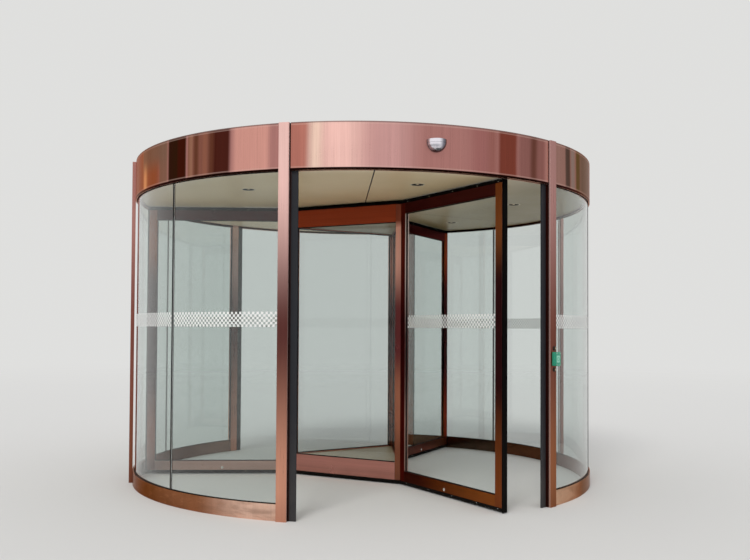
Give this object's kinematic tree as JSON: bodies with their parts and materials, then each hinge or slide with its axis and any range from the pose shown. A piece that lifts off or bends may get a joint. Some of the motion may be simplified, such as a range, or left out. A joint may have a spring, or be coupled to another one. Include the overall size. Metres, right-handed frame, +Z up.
{
  "type": "revolving door",
  "caption": "Automatic revolving door: round glass drum with a copper canopy and a turning three-wing leaf around a triangular glass showcase.",
  "frame": {"origin": "on the floor at the axis of the drum", "axes": "+Z up along the axis of rotation, -Y toward the street, +X to the right as seen from the street, along the wall of the building"},
  "size_m": [4.0806, 4.16, 2.732],
  "materials": {
    "rose_copper": "rose copper tint on brushed stainless sheet",
    "plinth_copper": "rose copper tint on brushed stainless sheet",
    "dark_copper": "dark red copper tint, satin",
    "roof_sheet": "matt grey primer",
    "ceiling_paint": "satin cream",
    "lamp_trim": "satin black",
    "bare_steel": "plain",
    "curved_glass": "clear laminated",
    "flat_glass": "clear toughened",
    "seal_rubber": "black",
    "edge_rubber": "charcoal",
    "tip_rubber": "black",
    "sensor_shell": "silver",
    "release_green": "green",
    "stud_steel": "satin",
    "showcase_deck": "satin cream",
    "brush_black": "black bristle"
  },
  "bodies": {
    "drum": {"fascia_front": "rose_copper", "fascia_rear": "rose_copper", "fascia_left": "rose_copper", "fascia_right": "rose_copper", "canopy_roof": "roof_sheet", "ceiling_panel_1": "ceiling_paint", "ceiling_panel_2": "ceiling_paint", "ceiling_panel_3": "ceiling_paint", "downlights": "lamp_trim", "drive_beam": "bare_steel", "top_bearing": "bare_steel", "post_front_left": "rose_copper", "post_front_right": "rose_copper", "post_rear_left": "rose_copper", "post_rear_right": "rose_copper", "rubber_front_left": "edge_rubber", "rubber_front_right": "edge_rubber", "rubber_rear_left": "edge_rubber", "rubber_rear_right": "edge_rubber", "plinth_front_left": "plinth_copper", "plinth_front_right": "plinth_copper", "plinth_rear_left": "plinth_copper", "plinth_rear_right": "plinth_copper", "pane_front_left_1": "curved_glass", "pane_front_left_2": "curved_glass", "pane_front_right_1": "curved_glass", "pane_front_right_2": "curved_glass", "pane_rear_left_1": "curved_glass", "pane_rear_left_2": "curved_glass", "pane_rear_right_1": "curved_glass", "pane_rear_right_2": "curved_glass", "pane_seals_left": "seal_rubber", "pane_seals_right": "seal_rubber", "jamb_left": "rose_copper", "jamb_right": "rose_copper", "dome_sensor_front": "sensor_shell", "dome_sensor_rear": "sensor_shell", "release_unit": "release_green", "release_studs": "stud_steel"},
    "rotor": {"showcase_frame": "dark_copper", "showcase_glass_1": "flat_glass", "showcase_glass_2": "flat_glass", "showcase_glass_3": "flat_glass", "showcase_floor": "showcase_deck", "showcase_top": "showcase_deck", "spindle": "bare_steel", "wing_frame_1": "dark_copper", "wing_frame_2": "dark_copper", "wing_frame_3": "dark_copper", "wing_glass_1": "flat_glass", "wing_glass_2": "flat_glass", "wing_glass_3": "flat_glass", "wing_rubber_1": "tip_rubber", "wing_rubber_2": "tip_rubber", "wing_rubber_3": "tip_rubber", "brush_seal_top": "brush_black", "brush_seal_bottom": "brush_black"}
  },
  "joints": [
    {"name": "rotor_turn", "type": "hinge", "parent": "drum", "child": "rotor", "pos_m": [0, 0, 2.49], "axis": [0, 0, 1], "continuous": true}
  ]
}
